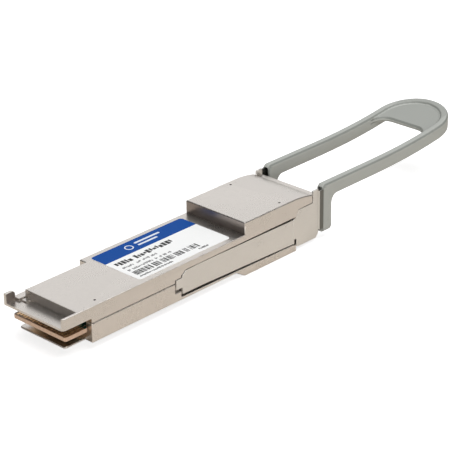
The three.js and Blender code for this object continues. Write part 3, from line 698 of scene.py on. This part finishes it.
# Rows of print: x0, x1, y0, y1 and the chance of a gap.
BLACK_ROWS = ((24.8, 41.8, 0.1, 1.75, 0.04), (24.7, 34.4, -6.9, -6.28, 0.06),
              (42.8, 45.4, -6.9, -6.28, 0.06))
GREY_ROWS = ((24.8, 35.0, -1.6, -0.85, 0.12), (24.8, 37.5, -3.25, -2.5, 0.12))
STRIPES = (24.8, 44.2, -5.75, -3.85)  # x0, x1, y0, y1
STRIPE_WIDTHS, STRIPE_GAPS = (0.16, 0.2, 0.3, 0.45), (0.12, 0.14, 0.2, 0.3, 0.6)
RING_X, RING_Y, RING_R, RING_WIDTH, RING_STEPS = 32.9, 5.3, 1.1, 0.3, 40
BAR_START, BAR_HEIGHT, BAR_CORNER = 35.2, 0.62, 0.28
BARS = ((5.75, 7.8), (4.45, 5.9))  # foot and length


def text_row(bm, x0, x1, y0, y1, gap_chance, rng):
    """A row of small blocks that stands for a line of print. It spells nothing."""
    x = x0
    height = y1 - y0
    while x < x1:
        width = rng.uniform(0.5, 0.95) * height * 0.6
        if rng.random() > gap_chance:
            low = y0 + (0 if rng.random() < 0.7 else 0.25) * height
            high = y1 - (0 if rng.random() < 0.6 else 0.3) * height
            prism(bm, rectangle(x, low, x + width, high), PRINT_FOOT, PRINT_TOP)
        x += width + height * 0.14


def stripe_row(bm, rng):
    """A plain pattern of stripes. It codes nothing."""
    x, end, low, high = STRIPES
    while x < end:
        width = rng.choice(STRIPE_WIDTHS)
        prism(bm, rectangle(x, low, x + width, high), PRINT_FOOT, PRINT_TOP)
        x += width + rng.choice(STRIPE_GAPS)


def ring_mark(bm):
    """A plain flat ring."""
    inner = RING_R - RING_WIDTH
    angles = [i / RING_STEPS * math.tau for i in range(RING_STEPS)]
    loops = []
    for r, z in ((RING_R, MARK_FOOT), (RING_R, MARK_TOP), (inner, MARK_TOP), (inner, MARK_FOOT)):
        loops.append([bm.verts.new(at(RING_X + r * math.cos(a), RING_Y + r * math.sin(a), z))
                      for a in angles])
    skin(bm, loops + loops[:1])


def make_label_film():
    bm = bmesh.new()
    prism(bm, round_rect(*LABEL, LABEL_CORNER), BODY_TOP, LABEL_TOP)
    film = object_from(bm, "label_film")
    round_edges(film, FILM_ROUND, 2, least=HAIR)
    sharpen_and_weight(film)
    place_piece(film, "label_film", nodes=["label"])


def make_label_print():
    """The printed band, rows, stripes and mark on the film."""
    x0, _, x1, y1 = LABEL
    bm = bmesh.new()
    band = round_rect(x0 + BAND_INSET, BAND_LOW, x1 - BAND_INSET, y1 - BAND_INSET,
                      LABEL_CORNER - BAND_INSET, corners=(0, 1, 1, 0))
    prism(bm, band, PRINT_FOOT, PRINT_TOP)
    place_piece(object_from(bm, "label_band"), "label_film", material=BLUE_INK)
    rng = random.Random(11)
    bm = bmesh.new()
    for row in BLACK_ROWS:
        text_row(bm, *row, rng)
    stripe_row(bm, rng)
    place_piece(object_from(bm, "label_print"), "label_film", material=BLACK_INK)
    bm = bmesh.new()
    for row in GREY_ROWS:
        text_row(bm, *row, rng)
    place_piece(object_from(bm, "label_small_print"), "label_film", material=GREY_INK)
    bm = bmesh.new()
    ring_mark(bm)
    for y, length in BARS:
        bar = round_rect(BAR_START, y, BAR_START + length, y + BAR_HEIGHT, BAR_CORNER)
        prism(bm, bar, MARK_FOOT, MARK_TOP)
    place_piece(object_from(bm, "label_mark"), "label_film", material=WHITE_INK)


# ---- board edge ----

CONTACT_PITCH, CONTACT_WIDTH, CONTACT_CORNER, CONTACT_COUNT = 0.8, 0.56, 0.12, 19
CONTACT_REAR, GOLD_FRONT, GROUND_FRONT = 6.5, 2.0, 1.8
GROUND_EVERY = 3  # every third contact is a longer ground contact
TRACE_FRONT, TRACE_REAR, TRACE_HALF, TRACE_DROP = 6.4, 7.7, 0.09, 0.02
BOARD_ROUND, CONTACT_ROUND = 0.1, 0.015
CONTACT_LEVELS = {"top": (3.49, 3.55), "bottom": (2.45, 2.51)}


def make_board():
    board = cad_copy("main_board", "board_with_edge")
    round_edges(board, BOARD_ROUND, 2)
    sharpen_and_weight(board)
    place_piece(board, "circuit_board", nodes=["main_board"])


def make_contacts(name, z0, z1):
    """One side's gold fingers, each with the start of its trace."""
    bm = bmesh.new()
    half = CONTACT_WIDTH / 2
    for i in range(CONTACT_COUNT):
        y = (i - (CONTACT_COUNT - 1) / 2) * CONTACT_PITCH
        front = GROUND_FRONT if i % GROUND_EVERY == 0 else GOLD_FRONT
        prism(bm, round_rect(front, y - half, CONTACT_REAR, y + half, CONTACT_CORNER, 3), z0, z1)
        trace = rectangle(TRACE_FRONT, y - TRACE_HALF, TRACE_REAR, y + TRACE_HALF)
        prism(bm, trace, z0, z1 - TRACE_DROP)
    fingers = object_from(bm, "gold_fingers_" + name)
    round_edges(fingers, CONTACT_ROUND, 2, least=HAIR)
    sharpen_and_weight(fingers)
    place_piece(fingers, "contact_gold", nodes=["card_contacts_" + name])


# ---- ports and screws ----

SMALL_ROUNDS = {"lc_receptacle": 0.18, "screw_front_near": 0.1, "screw_front_far": 0.1,
                "screw_rear_near": 0.1, "screw_rear_far": 0.1, "subassembly_retainer": 0.05}


def make_small_parts():
    """Small CAD parts that only need their edges rounded."""
    for node, width in SMALL_ROUNDS.items():
        piece = cad_copy(node, node + "_detail")
        round_edges(piece, width)
        sharpen_and_weight(piece)
        place_piece(piece, SLOTS[node], nodes=[node])


# ---- floor and light ----

FLOOR_HALF = 3.0  # metres
FLOOR_GAP = 0.03
FLOOR_PALE, FLOOR_WARM, FLOOR_GLOW = (0.55, 0.55, 0.55, 1), (0.635, 0.585, 0.525, 1), 0.75
WHITE = (1, 1, 1, 1)
WORLD_LIGHT = 0.07
LIGHT_TARGET = Vector((0.02, 0, 0.004))  # metres
LIGHT_DISTANCE = 0.9


def floor_material():
    """White to the camera, and a warm pale table in reflections and bounced light."""
    material = bpy.data.materials.new("pale_floor")
    material.use_nodes = True
    n = Nodes(material.node_tree)
    out = n.new("ShaderNodeOutputMaterial")
    seen = n.new("ShaderNodeAddShader")
    pale = n.new("ShaderNodeBsdfDiffuse")
    pale.inputs["Color"].default_value = FLOOR_PALE
    glow = n.new("ShaderNodeEmission")
    glow.inputs["Color"].default_value = WHITE
    glow.inputs["Strength"].default_value = FLOOR_GLOW
    n.link(pale.outputs[0], seen.inputs[0])
    n.link(glow.outputs[0], seen.inputs[1])
    warm = n.new("ShaderNodeBsdfDiffuse")
    warm.inputs["Color"].default_value = FLOOR_WARM
    path = n.new("ShaderNodeLightPath")
    pick = n.new("ShaderNodeMixShader")
    n.link(path.outputs["Is Camera Ray"], pick.inputs[0])
    n.link(warm.outputs[0], pick.inputs[1])
    n.link(seen.outputs[0], pick.inputs[2])
    n.link(pick.outputs[0], out.inputs["Surface"])
    return material


def make_floor():
    level = (HEAD_BOTTOM - FLOOR_GAP) * MM
    bm = bmesh.new()
    corners = rectangle(-FLOOR_HALF, -FLOOR_HALF, FLOOR_HALF, FLOOR_HALF)
    bm.faces.new([bm.verts.new((x, y, level)) for x, y in corners])
    floor = object_from(bm, "floor")
    floor.data.materials.append(floor_material())


def area_light(name, direction, size, power):
    """A panel that faces the module from a direction, and that the camera doesn't see."""
    data = bpy.data.lights.new(name, "AREA")
    data.shape = "RECTANGLE"
    data.size, data.size_y = size
    data.energy = power
    obj = bpy.data.objects.new(name, data)
    bpy.context.collection.objects.link(obj)
    away = Vector(direction).normalized()
    obj.location = LIGHT_TARGET + away * LIGHT_DISTANCE
    obj.rotation_euler = away.to_track_quat("Z", "Y").to_euler()
    obj.visible_camera = False
    return obj


def make_light():
    world = bpy.data.worlds.new("studio")
    bpy.context.scene.world = world
    world.use_nodes = True
    background = world.node_tree.nodes["Background"]
    background.inputs["Color"].default_value = WHITE
    background.inputs["Strength"].default_value = WORLD_LIGHT
    area_light("overhead", (0.1, -0.15, 1), (0.9, 0.9), 8.2)
    area_light("side_fill", (-0.12, -1, 0.22), (0.7, 0.3), 2.4)
    front = area_light("front_fill", (-1, -0.2, 0.14), (0.8, 0.25), 3.2)
    front.visible_glossy = False
    area_light("back_panel", (0.65, 0.63, 0.42), (1.1, 0.7), 1.75)
    bpy.context.scene.view_settings.view_transform = "Standard"


make_camera()
make_floor()
make_light()
dress_cad_nodes()
make_upper_shell()
make_lower_shell()
make_slider()
make_spring(-1, "near")
make_spring(1, "far")
make_tab()
make_label_film()
make_label_print()
make_board()
for name, (z0, z1) in CONTACT_LEVELS.items():
    make_contacts(name, z0, z1)
make_small_parts()
